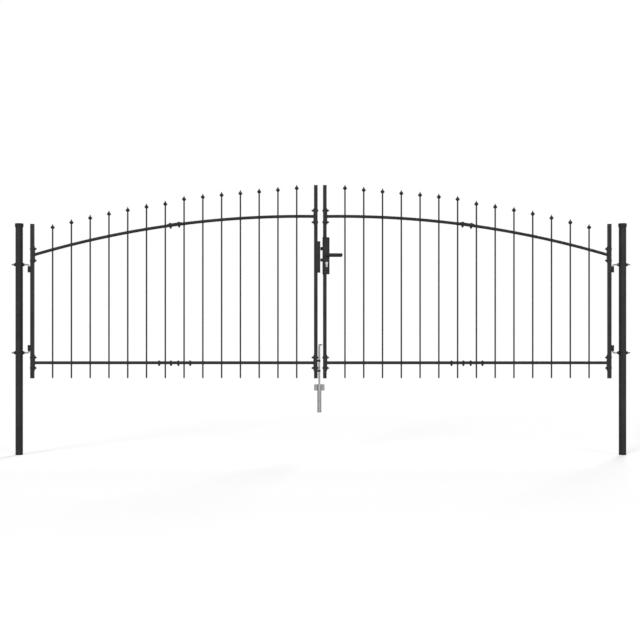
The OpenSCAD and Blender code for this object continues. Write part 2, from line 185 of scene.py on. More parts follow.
class GateShape(bpy.types.PropertyGroup):
    """Sizes of the gate that its boxes don't give."""

    arch_r: length("Arch radius", "Radius of the arched rail's middle line", 1000, 20000, 6240)
    arch_drop: length(
        "Arch drop", "Drop from the inner stiles' tops to the arch's highest point", 50, 500, 204,
    )
    arch_top_u: length("Arch top", "Distance from the gate's middle to the arch's highest point", 0, 500, 123)
    arch_d: length("Arch diameter", "Diameter of the arched rail", 10, 30, 20)
    saddle_t: length("Saddle", "Thickness of the saddle over the arch's joint, with its room", 1, 6, 3.2)
    rail_d: length("Bottom rail diameter", "Diameter of the bottom rail", 10, 30, 20)
    rail_rise: length("Bottom rail rise", "Rise from the leaves' lower ends to the bottom rail", 50, 200, 102)
    flange_t: length("End plate", "Thickness of the plates at the rails' ends", 2, 6, 4)
    sleeve_len: length("Hinge sleeve", "Length of the hinge sleeves", 30, 45, 39)
    guide_h: length("Drop bolt guide", "Height of the drop bolt's guides", 10, 16, 13)
    picket_d: length("Picket diameter", "Diameter of the pickets", 5, 20, 10)
    pickets: bpy.props.IntProperty(
        name="Pickets", description="Pickets in each leaf", min=2, max=40, default=14,
    )
    first_gap: length("First gap", "Distance from the outer stile's middle to the first picket", 50, 300, 133)
    last_u: length("Last picket", "Distance from the gate's middle to the innermost picket", 50, 300, 158)


class GateStudio(bpy.types.PropertyGroup):
    """Camera and light of the plain studio."""

    distance: bpy.props.FloatProperty(
        name="Camera distance", description="Distance from the gate's plane to the camera",
        unit="LENGTH", min=2, max=30, default=7.5,
    )
    lens: bpy.props.FloatProperty(
        name="Lens", description="Focal length in millimetres", min=20, max=200, default=64.4,
    )
    camera_x: bpy.props.FloatProperty(
        name="Camera place", description="Place of the camera along the gate", unit="LENGTH", default=1.9704,
    )
    camera_z: bpy.props.FloatProperty(
        name="Camera height", description="Height of the camera over the posts' feet",
        unit="LENGTH", default=0.883,
    )
    paper: colour("Paper", "Colour of the floor and of the background", "#fdfdfd")


# The gate's lines


def gate_middle():
    """Place of the gate's middle along X."""
    left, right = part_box("left_post"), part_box("right_post")
    return (left[0].x + right[1].x) / 2


def leaf_side(leaf):
    """-1 for the left leaf and 1 for the right one."""
    return -1 if leaf == "left" else 1


def stile_places(leaf):
    """Distances from the gate's middle to the outer and inner stile's middle."""
    middle = gate_middle()
    places = []
    for stile in ("outer", "inner"):
        low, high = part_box(f"{leaf}_{stile}_stile")
        places.append(abs((low.x + high.x) / 2 - middle))
    return places


def stile_half():
    """Half of the stiles' width."""
    low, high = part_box("left_outer_stile")
    return (high.x - low.x) / 2


def leaf_foot():
    """Height of the leaves' lower ends."""
    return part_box("left_stile_plugs")[0].z


def arch_point(shape, u):
    """Height and slope angle of the arch's middle line at a distance from the gate's middle."""
    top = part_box("left_stile_plugs")[1].z - shape.arch_drop
    angle = math.asin((u - shape.arch_top_u) / shape.arch_r)
    return top - shape.arch_r * (1 - math.cos(angle)), angle


def picket_places(shape, leaf):
    """Distances from the gate's middle to the leaf's pickets, from the outside in."""
    first = stile_places(leaf)[0] - shape.first_gap
    step = (first - shape.last_u) / (shape.pickets - 1)
    return [first - i * step for i in range(shape.pickets)]


# Finishes


def empty_tree(owner):
    """Node tree of a material or a world, with nothing in it."""
    owner.use_nodes = True
    owner.node_tree.nodes.clear()
    return owner.node_tree


def new_material(name):
    """Material with its shader and output, and the place on the object for patterns."""
    material = bpy.data.materials.new(name)
    tree = empty_tree(material)
    shader = add_node(tree, "ShaderNodeBsdfPrincipled")
    add_node(tree, "ShaderNodeOutputMaterial", {"Surface": shader})
    coords = add_node(tree, "ShaderNodeTexCoord")
    return material, tree, shader, coords.outputs["Object"]


def vary(tree, shader, pattern, tints, span, rough):
    """Moves a finish with a pattern: over a span of it between two tints, and between two roughnesses."""
    ramp = add_node(tree, "ShaderNodeValToRGB", {"Fac": pattern})
    for stop, position, tint in zip(ramp.color_ramp.elements, span, tints):
        stop.position = position
        stop.color = (*tint, 1)
    gloss = add_node(tree, "ShaderNodeMapRange", {"Value": pattern, "To Min": rough[0], "To Max": rough[1]})
    feed(tree, shader, {"Base Color": ramp, "Roughness": gloss})


def black_powder_coat(colours):
    """Black polyester powder coat on steel: a satin film of slowly changing thickness, with orange peel."""
    material, tree, shader, place = new_material("black_powder_coat")
    # Film thickness drifts over about 120 mm and moves both colour and gloss a little
    film = add_node(
        tree, "ShaderNodeTexNoise",
        {"Vector": place, "Scale": 1 / (120 * MM), "Detail": 3.0, "Roughness": 0.55},
    )
    vary(tree, shader, film, (colours.coat, colours.coat_thin), span=(0.35, 0.7), rough=(0.46, 0.58))
    # Orange peel has ripples of about 2 mm. Powder grains are about 0.1 mm, drawn at 0.6 mm so that they show
    peel = add_node(tree, "ShaderNodeTexNoise", {"Vector": place, "Scale": 1 / (2.0 * MM), "Detail": 2.0})
    grain = add_node(tree, "ShaderNodeTexNoise", {"Vector": place, "Scale": 1 / (0.6 * MM), "Detail": 1.0})
    ripple = add_node(tree, "ShaderNodeBump", {"Height": peel, "Strength": 0.7, "Distance": 0.38 * MM})
    speck = add_node(
        tree, "ShaderNodeBump", {"Height": grain, "Strength": 0.4, "Distance": 0.08 * MM, "Normal": ripple}
    )
    # The grains break the film up, so it shows less gloss than bare polyester
    feed(tree, shader, {"Normal": speck, "IOR": 1.45, "Specular IOR Level": 0.2})
    return material


def black_plastic(colours):
    """Injection-moulded polyethylene: darker and duller than the coat, with a fine spark-eroded grain."""
    material, tree, shader, place = new_material("moulded_black_polyethylene")
    # Shade drifts over about 30 mm
    shade = add_node(tree, "ShaderNodeTexNoise", {"Vector": place, "Scale": 1 / (30 * MM), "Detail": 2.0})
    pale = [1.5 * c for c in colours.plastic]
    vary(tree, shader, shade, (colours.plastic, pale), span=(0, 1), rough=(0.48, 0.62))
    # Mould grain of about 0.6 mm
    grain = add_node(tree, "ShaderNodeTexVoronoi", {"Vector": place, "Scale": 1 / (0.6 * MM)})
    relief = add_node(tree, "ShaderNodeBump", {"Height": grain, "Strength": 0.2, "Distance": 0.05 * MM})
    feed(tree, shader, {"Normal": relief, "IOR": 1.51, "Specular IOR Level": 0.2})
    return material


def zinc_plate(colours):
    """Clear-passivated zinc plating: a pale grey metal with soft clouds and a fine grit."""
    material, tree, shader, place = new_material("clear_passivated_zinc_plate")
    # Clouds of about 14 mm
    cloud = add_node(
        tree, "ShaderNodeTexNoise",
        {"Vector": place, "Scale": 1 / (14 * MM), "Detail": 4.0, "Roughness": 0.6},
    )
    vary(tree, shader, cloud, (colours.zinc_cloud, colours.zinc), span=(0.3, 0.65), rough=(0.47, 0.37))
    # Plating grit of about 0.5 mm
    grit = add_node(tree, "ShaderNodeTexNoise", {"Vector": place, "Scale": 1 / (0.5 * MM), "Detail": 2.0})
    relief = add_node(tree, "ShaderNodeBump", {"Height": grit, "Strength": 0.15, "Distance": 0.03 * MM})
    feed(tree, shader, {"Normal": relief, "Metallic": 1.0})
    return material


def nickel_plate(colours):
    """Satin nickel plating on brass and steel: a warm bright metal, brushed upright with fine lines."""
    material, tree, shader, place = new_material("satin_nickel_plate")
    # Brushing lines are about 0.25 mm apart and 12 mm long
    stretch = add_node(tree, "ShaderNodeMapping", {"Vector": place, "Scale": (1.0, 1.0, 0.02)})
    lines = add_node(
        tree, "ShaderNodeTexNoise", {"Vector": stretch, "Scale": 1 / (0.25 * MM), "Detail": 2.0}
    )
    dark = [0.88 * c for c in colours.nickel]
    vary(tree, shader, lines, (dark, colours.nickel), span=(0, 1), rough=(0.32, 0.44))
    relief = add_node(tree, "ShaderNodeBump", {"Height": lines, "Strength": 0.1, "Distance": 0.02 * MM})
    feed(tree, shader, {"Normal": relief, "Metallic": 1.0})
    return material


def near_black_bolt_finish(colours):
    """Black-passivated zinc on the rail bolts and hinge nuts, and the same near-black metal on the latch and
    dead bolts: half metallic, with worn grey specks.
    """
    material, tree, shader, place = new_material("near_black_bolt_metal")
    # Specks of about 1.2 mm where the film is thin
    speck = add_node(tree, "ShaderNodeTexNoise", {"Vector": place, "Scale": 1 / (1.2 * MM), "Detail": 3.0})
    worn = [4 * c for c in colours.fastener]
    vary(tree, shader, speck, (colours.fastener, worn), span=(0.45, 0.85), rough=(0.38, 0.5))
    relief = add_node(tree, "ShaderNodeBump", {"Height": speck, "Strength": 0.1, "Distance": 0.04 * MM})
    feed(tree, shader, {"Normal": relief, "Metallic": 0.6})
    return material


FINISHES = {
    "black_powder_coat": black_powder_coat,
    "black_plastic": black_plastic,
    "zinc_plate": zinc_plate,
    "nickel_plate": nickel_plate,
    "black_zinc": near_black_bolt_finish,
}
MADE = {}


def finish(name):
    """The finish with this name, made on its first use."""
    if name not in MADE:
        MADE[name] = FINISHES[name](bpy.context.scene.gate_finishes)
    return MADE[name]


# Node trees for what repeats

# How far a bolt head's dome is drawn in at its top, as a share of its radius squared
DOME = 0.88
# How far a nut's ends are drawn in, and how deep a bolt's thread is, as shares of the radius
CHAMFER, THREAD_DEPTH = 0.08, 0.15
# How far a seam weld is drawn in between its ripples, as a share of its radius
RIPPLE_DEPTH = 0.18


def new_tree(name, sizes):
    """Geometry node tree with a geometry input, named number inputs, a finish and a geometry output."""
    tree = bpy.data.node_groups.new(name, "GeometryNodeTree")
    tree.interface.new_socket("Geometry", in_out="INPUT", socket_type="NodeSocketGeometry")
    for size in sizes:
        tree.interface.new_socket(size, in_out="INPUT", socket_type="NodeSocketFloat")
    tree.interface.new_socket("Finish", in_out="INPUT", socket_type="NodeSocketMaterial")
    tree.interface.new_socket("Geometry", in_out="OUTPUT", socket_type="NodeSocketGeometry")
    given = add_node(tree, "NodeGroupInput").outputs
    return tree, given


def close_tree(tree, given, shape):
    """Ends a tree: plain mesh from the instances, with the finish on it."""
    plain = add_node(tree, "GeometryNodeRealizeInstances", {"Geometry": shape})
    dressed = add_node(tree, "GeometryNodeSetMaterial", {"Geometry": plain, "Material": given["Finish"]})
    add_node(tree, "NodeGroupOutput", {0: dressed})


def aim_rotation(tree):
    """Aim of each point, and the rotation that turns a shape's Z onto it."""
    aim = add_node(tree, "GeometryNodeInputNamedAttribute", {"Name": "aim"}, data_type="FLOAT_VECTOR")
    turn = add_node(
        tree, "FunctionNodeAlignRotationToVector", {"Vector": aim.outputs["Attribute"]}, axis="Z"
    )
    return aim.outputs["Attribute"], turn


def scale_rings(tree, mesh, axes, scale):
    """Mesh whose rings shrink or grow round the Z axis by a factor, which may follow the height."""
    x = add_node(tree, "ShaderNodeMath", {0: axes["X"], 1: scale}, operation="MULTIPLY")
    y = add_node(tree, "ShaderNodeMath", {0: axes["Y"], 1: scale}, operation="MULTIPLY")
    place = add_node(tree, "ShaderNodeCombineXYZ", {0: x, 1: y, 2: axes["Z"]})
    return add_node(tree, "GeometryNodeSetPosition", {"Geometry": mesh, "Position": place})


def lift(tree, mesh, height):
    """Mesh moved up by a height."""
    up = add_node(tree, "ShaderNodeCombineXYZ", {2: height})
    return add_node(tree, "GeometryNodeTransform", {"Geometry": mesh, "Translation": up})


def bolt_head(tree, given, axes):
    """Domed head under its seat: a drum whose rings shrink towards its outer face."""
    tall = given["Head height"]
    drum = add_node(
        tree, "GeometryNodeMeshCylinder",
        {"Vertices": 20, "Side Segments": 5, "Radius": given["Head radius"], "Depth": tall},
    )
    half = add_node(tree, "ShaderNodeMath", {0: tall, 1: 0.5}, operation="MULTIPLY")
    fall = add_node(tree, "ShaderNodeMath", {0: half, 1: axes["Z"]}, operation="SUBTRACT")
    share = add_node(tree, "ShaderNodeMath", {0: fall, 1: tall}, operation="DIVIDE")
    square = add_node(tree, "ShaderNodeMath", {0: share, 1: share}, operation="MULTIPLY")
    rest = add_node(tree, "ShaderNodeMath", {0: square, 1: -DOME, 2: 1.0}, operation="MULTIPLY_ADD")
    shrink = add_node(tree, "ShaderNodeMath", {0: rest}, operation="SQRT")
    down = add_node(tree, "ShaderNodeMath", {0: half, 1: -1.0}, operation="MULTIPLY")
    return lift(tree, scale_rings(tree, drum, axes, shrink), down)


def bolt_washer(tree, given):
    """Washer, from its seat up."""
    thick = given["Washer thickness"]
    disc = add_node(
        tree, "GeometryNodeMeshCylinder", {"Vertices": 20, "Radius": given["Washer radius"], "Depth": thick}
    )
    middle = add_node(tree, "ShaderNodeMath", {0: thick, 1: 0.5}, operation="MULTIPLY")
    return lift(tree, disc, middle)


def bolt_nut(tree, given, axes):
    """Hexagon nut on the washer, whose end rings are drawn in for its chamfers."""
    tall = given["Nut height"]
    hexagon = add_node(
        tree, "GeometryNodeMeshCylinder",
        {"Vertices": 6, "Side Segments": 6, "Radius": given["Nut radius"], "Depth": tall},
    )
    # Only the rings at both ends lie further off the middle than this share of the height
    off = add_node(tree, "ShaderNodeMath", {0: axes["Z"]}, operation="ABSOLUTE")
    edge = add_node(tree, "ShaderNodeMath", {0: tall, 1: 0.49}, operation="MULTIPLY")
    at_end = add_node(tree, "ShaderNodeMath", {0: off, 1: edge}, operation="GREATER_THAN")
    scale = add_node(tree, "ShaderNodeMath", {0: at_end, 1: -CHAMFER, 2: 1.0}, operation="MULTIPLY_ADD")
    middle = add_node(
        tree, "ShaderNodeMath", {0: tall, 1: 0.5, 2: given["Washer thickness"]}, operation="MULTIPLY_ADD"
    )
    return lift(tree, scale_rings(tree, hexagon, axes, scale), middle)


def bolt_end(tree, given, axes):
    """Threaded end over the nut, whose rings go in and out with each thread step, which is half a pitch."""
    step = given["Thread step"]
    rings = add_node(tree, "ShaderNodeMath", {0: given["Bolt end"], 1: step}, operation="DIVIDE")
    count = add_node(tree, "FunctionNodeFloatToInt", {0: rings}, rounding_mode="ROUND")
    rod = add_node(
        tree, "GeometryNodeMeshCylinder",
        {
            "Vertices": 14, "Side Segments": count, "Radius": given["Bolt radius"],
            "Depth": given["Bolt end"],
        },
    )
    half = add_node(tree, "ShaderNodeMath", {0: given["Bolt end"], 1: 0.5}, operation="MULTIPLY")
    height = add_node(tree, "ShaderNodeMath", {0: axes["Z"], 1: half}, operation="ADD")
    swing = add_node(tree, "ShaderNodeMath", {0: height, 1: step}, operation="PINGPONG")
    depth = add_node(tree, "ShaderNodeMath", {0: swing, 1: step}, operation="DIVIDE")
    scale = add_node(tree, "ShaderNodeMath", {0: depth, 1: -THREAD_DEPTH, 2: 1.0}, operation="MULTIPLY_ADD")
    nut_top = add_node(
        tree, "ShaderNodeMath", {0: given["Nut height"], 1: given["Washer thickness"]}, operation="ADD"
    )
    middle = add_node(tree, "ShaderNodeMath", {0: nut_top, 1: half}, operation="ADD")
    return lift(tree, scale_rings(tree, rod, axes, scale), middle)


def bolt_tree():
    """Bolts: a domed head at each point, and a washer, a nut and a threaded end across the grip from it."""
    tree, given = new_tree(
        "gate_bolts",
        ["Head radius", "Head height", "Bolt radius", "Nut radius", "Nut height", "Washer radius",
         "Washer thickness", "Bolt end", "Thread step"],
    )
    spot = add_node(tree, "GeometryNodeInputPosition")
    axes = add_node(tree, "ShaderNodeSeparateXYZ", {0: spot}).outputs
    nut_side = add_node(tree, "GeometryNodeJoinGeometry")
    for part in (bolt_washer(tree, given), bolt_nut(tree, given, axes), bolt_end(tree, given, axes)):
        feed(tree, nut_side, {"Geometry": part})
    # Heads stand on the points, nuts at the far side of each point's grip
    aim, turn = aim_rotation(tree)
    grip = add_node(tree, "GeometryNodeInputNamedAttribute", {"Name": "grip"}, data_type="FLOAT")
    reach = add_node(
        tree, "ShaderNodeVectorMath", {0: aim, "Scale": grip.outputs["Attribute"]}, operation="SCALE"
    )
    far = add_node(tree, "GeometryNodeSetPosition", {"Geometry": given["Geometry"], "Offset": reach})
    heads = add_node(
        tree, "GeometryNodeInstanceOnPoints",
        {"Points": given["Geometry"], "Instance": bolt_head(tree, given, axes), "Rotation": turn},
    )
    nuts = add_node(
        tree, "GeometryNodeInstanceOnPoints", {"Points": far, "Instance": nut_side, "Rotation": turn}
    )
    # Shank, drawn a metre long and scaled to the grip
    shank = add_node(
        tree, "GeometryNodeMeshCylinder", {"Vertices": 12, "Radius": given["Bolt radius"], "Depth": 1.0}
    )
    stretch = add_node(tree, "ShaderNodeCombineXYZ", {0: 1.0, 1: 1.0, 2: grip.outputs["Attribute"]})
    shanks = add_node(
        tree, "GeometryNodeInstanceOnPoints",
        {
            "Points": given["Geometry"], "Instance": lift(tree, shank, 0.5), "Rotation": turn,
            "Scale": stretch,
        },
    )
    whole = add_node(tree, "GeometryNodeJoinGeometry")
    for part in (heads, shanks, nuts):
        feed(tree, whole, {"Geometry": part})
    close_tree(tree, given, whole)
    return tree


def thread_tree():
    """Hinge threads: a ridge that winds round each rod, from its point and over the given length."""
    tree, given = new_tree("hinge_threads", ["Rod radius", "Turns", "Ridge", "Length"])
    winding = add_node(
        tree, "GeometryNodeCurveSpiral",
        {
            "Resolution": 18, "Rotations": given["Turns"], "Start Radius": given["Rod radius"],
            "End Radius": given["Rod radius"], "Height": given["Length"],
        },
    )
    ridge = add_node(tree, "GeometryNodeCurvePrimitiveCircle", {"Resolution": 4, "Radius": given["Ridge"]})
    swept = add_node(
        tree, "GeometryNodeCurveToMesh", {"Curve": winding, "Profile Curve": ridge, "Fill Caps": True}
    )
    threads = add_node(
        tree, "GeometryNodeInstanceOnPoints",
        {"Points": given["Geometry"], "Instance": swept, "Rotation": aim_rotation(tree)[1]},
    )
    close_tree(tree, given, threads)
    return tree


def bead_tree():
    """Weld beads: a bead along the saddle-shaped line in which a bar meets a rail, from the rail's crown."""
    tree, given = new_tree("bar_welds", ["Bar radius", "Rail radius", "Bead radius"])
    rail_r = given["Rail radius"]
    ring = add_node(
        tree, "GeometryNodeCurvePrimitiveCircle", {"Resolution": 16, "Radius": given["Bar radius"]}
    )
    spot = add_node(tree, "GeometryNodeInputPosition")
    axes = add_node(tree, "ShaderNodeSeparateXYZ", {0: spot}).outputs
    # The rail's surface lies at the root of its radius squared less the distance across it squared
    across = add_node(tree, "ShaderNodeMath", {0: axes["Y"], 1: axes["Y"]}, operation="MULTIPLY")
    rail_square = add_node(tree, "ShaderNodeMath", {0: rail_r, 1: rail_r}, operation="MULTIPLY")
    left_over = add_node(tree, "ShaderNodeMath", {0: rail_square, 1: across}, operation="SUBTRACT")
    height = add_node(tree, "ShaderNodeMath", {0: left_over}, operation="SQRT")
    sink = add_node(tree, "ShaderNodeMath", {0: height, 1: rail_r}, operation="SUBTRACT")
    shift = add_node(tree, "ShaderNodeCombineXYZ", {2: sink})
    saddle = add_node(tree, "GeometryNodeSetPosition", {"Geometry": ring, "Offset": shift})
    section = add_node(
        tree, "GeometryNodeCurvePrimitiveCircle", {"Resolution": 6, "Radius": given["Bead radius"]}
    )
    bead = add_node(tree, "GeometryNodeCurveToMesh", {"Curve": saddle, "Profile Curve": section})
    beads = add_node(
        tree, "GeometryNodeInstanceOnPoints",
        {"Points": given["Geometry"], "Instance": bead, "Rotation": aim_rotation(tree)[1]},
    )
    close_tree(tree, given, beads)
    return tree


def seam_tree():
    """Seam welds: a rippled bead along each line of the given mesh, rounded where the line turns."""
    tree, given = new_tree("seam_welds", ["Bead radius", "Ripple step"])
    lines = add_node(tree, "GeometryNodeMeshToCurve", {"Mesh": given["Geometry"]})
    rounded = add_node(
        tree, "GeometryNodeFilletCurve",
        {"Curve": lines, "Count": 4, "Radius": given["Bead radius"]}, mode="POLY",
    )
    # Two points for each ripple, of which every second one is drawn in
    even = add_node(
        tree, "GeometryNodeResampleCurve", {"Curve": rounded, "Length": given["Ripple step"]}, mode="LENGTH"
    )
    number = add_node(tree, "GeometryNodeInputIndex")
    odd = add_node(tree, "ShaderNodeMath", {0: number, 1: 2.0}, operation="MODULO")
    swell = add_node(tree, "ShaderNodeMath", {0: odd, 1: -RIPPLE_DEPTH, 2: 1.0}, operation="MULTIPLY_ADD")
    rippled = add_node(tree, "GeometryNodeSetCurveRadius", {"Curve": even, "Radius": swell})
    section = add_node(
        tree, "GeometryNodeCurvePrimitiveCircle", {"Resolution": 8, "Radius": given["Bead radius"]}
    )
    bead = add_node(
        tree, "GeometryNodeCurveToMesh", {"Curve": rippled, "Profile Curve": section, "Fill Caps": True}
    )
    close_tree(tree, given, bead)
    return tree


def grow(tree, name, points, sizes, material, lines=()):
    """Plain mesh that a tree makes on points (place, aim, grip) and on lines between numbered points."""
    seed_mesh = bpy.data.meshes.new(name + "_points")
    seed_mesh.from_pydata([tuple(p[0]) for p in points], lines, [])
    aims = seed_mesh.attributes.new("aim", "FLOAT_VECTOR", "POINT")
    aims.data.foreach_set("vector", [c for p in points for c in Vector(p[1]).normalized()])
    grips = seed_mesh.attributes.new("grip", "FLOAT", "POINT")
    grips.data.foreach_set("value", [p[2] for p in points])
    piece = bpy.data.objects.new(name, seed_mesh)
    bpy.context.scene.collection.objects.link(piece)
    modifier = piece.modifiers.new("Grow", "NODES")
    modifier.node_group = tree
    for socket in tree.interface.items_tree:
        if socket.in_out == "INPUT" and socket.name in sizes:
            modifier[socket.identifier] = sizes[socket.name]
        if socket.in_out == "INPUT" and socket.name == "Finish":
            modifier[socket.identifier] = material
    bpy.context.view_layer.update()
    seen = piece.evaluated_get(bpy.context.evaluated_depsgraph_get())
    plain = bpy.data.meshes.new_from_object(seen)
    piece.modifiers.remove(modifier)
    piece.data = plain
    plain.name = name
    bpy.data.meshes.remove(seed_mesh)
    if not plain.polygons:
        raise RuntimeError(f"{name} came out empty")
    return piece


def smooth(piece, angle):
    """Smooth shading up to an angle between faces."""
    piece.data.shade_smooth()
    piece.data.set_sharp_from_angle(angle=math.radians(angle))


# Operators


class GATE_OT_finishes(bpy.types.Operator):
    """Gives every CAD node the finish of the real piece, but the latch and dead bolts the near-black bolt
    metal instead of nickel.
    """

    bl_idname = "gate.finishes"
    bl_label = "Finishes"

    def execute(self, context):
        dressed = set()
        for name, nodes in FINISH_NODES.items():
            for node in nodes:
                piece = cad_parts[node]
                if not piece.material_slots:
                    piece.data.materials.append(None)
                for slot in piece.material_slots:
                    slot.material = finish(name)
                dressed.add(node)
        bare = sorted(set(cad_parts) - dressed)
        if bare:
            raise RuntimeError(f"no finish for {bare}")
        return {"FINISHED"}


class GATE_OT_bolts(bpy.types.Operator):
    """Adds the bolts of the rails' end plates and of the rails' joints."""

    bl_idname = "gate.bolts"
    bl_label = "Bolts"
    # A flat head stands this far over the crown of a round rail, on the bolt's neck
    crown = 0.8 * MM

    def execute(self, context):
        sizes, shape = context.scene.gate_fasteners, context.scene.gate_shape
        tree = bolt_tree()
        for leaf in ("left", "right"):
            piece = grow(
                tree, f"{leaf}_leaf_bolts", self.places(leaf, sizes, shape),
                {
                    "Head radius": sizes.head_d / 2, "Head height": sizes.head_h,
                    "Bolt radius": sizes.bolt_d / 2, "Bolt end": sizes.end_out,
                    "Nut radius": sizes.nut_af / math.sqrt(3), "Nut height": sizes.nut_h,
                    "Washer radius": sizes.washer_d / 2, "Washer thickness": sizes.washer_t,
                    "Thread step": sizes.bolt_pitch / 2,
                },
                finish("black_zinc"),
            )
            smooth(piece, angle=35)
            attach(piece, f"{leaf}_leaf")
        return {"FINISHED"}

    def places(self, leaf, sizes, shape):
        """Points, aims and grips of a leaf's bolts."""
        middle, side, half = gate_middle(), leaf_side(leaf), stile_half()
        outer_u, inner_u = stile_places(leaf)
        rail_z = leaf_foot() + shape.rail_rise
        points = []
        # Through each stile and its end plate, with the head on the stile's far side
        grip = 2 * half + shape.flange_t
        for stile_u, towards in ((outer_u, -1), (inner_u, 1)):
            head_u = stile_u - towards * half
            arch_z = arch_point(shape, stile_u + towards * half)[0]
            for z, gap in ((arch_z, sizes.arch_bolt_gap), (rail_z, sizes.rail_bolt_gap)):
                for up in (-1, 1):
                    place = (middle + side * head_u, 0, z + up * gap)
                    points.append((place, (side * towards, 0, 0), grip))
        # Through the saddle and the arched rail, square to the rail
        joint_u = sum(picket_places(shape, leaf)[shape.pickets // 2 - 1:shape.pickets // 2 + 1]) / 2
        for along in (-1, 1):
            u = joint_u + along * sizes.saddle_bolt_gap
            z, angle = arch_point(shape, u)
            out = Vector((side * math.sin(angle), 0, math.cos(angle)))
            axis = Vector((middle + side * u, 0, z))
            seat = shape.arch_d / 2 + shape.saddle_t
            points.append((axis + out * seat, -out, seat + shape.arch_d / 2))
        # Down through the bottom rail, on both sides of its joint
        for gap in (-sizes.splice_far, -sizes.splice_near, sizes.splice_near, sizes.splice_far):
            place = (middle + side * (joint_u + gap), 0, rail_z + shape.rail_d / 2 + self.crown)
            points.append((place, (0, 0, -1), shape.rail_d + self.crown))
        return points


class GATE_OT_threads(bpy.types.Operator):
    """Winds the thread on the hinge bolts, outside the posts and between the posts and the bends."""

    bl_idname = "gate.threads"
    bl_label = "Hinge threads"
    # Thread that shows outside the nuts, and between the nuts and the bends
    lengths = {"outer": 14 * MM, "inner": 15 * MM}

    def execute(self, context):
        sizes = context.scene.gate_fasteners
        tree = thread_tree()
        for name, run in self.lengths.items():
            points = []
            for leaf in ("left", "right"):
                side = leaf_side(leaf)
                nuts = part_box(f"{leaf}_hinge_nuts")
                edge = nuts[1].x if (side > 0) == (name == "outer") else nuts[0].x
                way = side if name == "outer" else -side
                for which in ("upper", "lower"):
                    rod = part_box(f"{leaf}_{which}_hinge_bolt")
                    radius = (rod[1].y - rod[0].y) / 2
                    z = rod[1].z - radius if which == "upper" else rod[0].z + radius
                    points.append(((edge, 0, z), (way, 0, 0), 0))
            piece = grow(
                tree, f"hinge_threads_{name}", points,
                {
                    "Rod radius": radius, "Turns": run / sizes.rod_pitch, "Ridge": sizes.rod_ridge,
                    "Length": run,
                },
                finish("zinc_plate"),
            )
            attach(piece, "posts")
        return {"FINISHED"}


class GATE_OT_welds(bpy.types.Operator):
    """Lays the weld beads where pickets pass through the rails and where the rails meet their end plates."""

    bl_idname = "gate.welds"
    bl_label = "Welds"
    # A rail this wide is as good as a flat plate
    flat = 20.0

    def execute(self, context):
        sizes, shape = context.scene.gate_fasteners, context.scene.gate_shape
        tree = bead_tree()
        middle = gate_middle()
        rail_z = leaf_foot() + shape.rail_rise
        for leaf in ("left", "right"):
            side = leaf_side(leaf)
            for rail, diameter in (("arch", shape.arch_d), ("rail", shape.rail_d)):
                points = []
                for u in picket_places(shape, leaf):
                    z, angle = arch_point(shape, u) if rail == "arch" else (rail_z, 0)
                    out = Vector((side * math.sin(angle), 0, math.cos(angle)))
                    axis = Vector((middle + side * u, 0, z))
                    for way in (-1, 1):
                        points.append((axis + way * out * diameter / 2, way * out, 0))
                self.bead(tree, leaf, f"{leaf}_{rail}_welds", points, shape.picket_d, diameter, sizes.bead_r)
                points = self.plate_points(shape, leaf, rail, rail_z)
                self.bead(tree, leaf, f"{leaf}_{rail}_end_welds", points, diameter, self.flat, sizes.bead_r)
        return {"FINISHED"}

    def plate_points(self, shape, leaf, rail, rail_z):
        """Where a rail's middle line comes out of its end plates."""
        side = leaf_side(leaf)
        outer_u, inner_u = stile_places(leaf)
        reach = stile_half() + shape.flange_t
        points = []
        for u, towards in ((outer_u - reach, -1), (inner_u + reach, 1)):
            z = arch_point(shape, u)[0] if rail == "arch" else rail_z
            points.append(((gate_middle() + side * u, 0, z), (side * towards, 0, 0), 0))
        return points

    def bead(self, tree, leaf, name, points, bar_d, rail_d, radius):
        """One piece of weld beads round bars of one diameter."""
        piece = grow(
            tree, name, points,
            {"Bar radius": bar_d / 2, "Rail radius": rail_d / 2, "Bead radius": radius},
            finish("black_powder_coat"),
        )
        smooth(piece, angle=60)
        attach(piece, f"{leaf}_leaf")


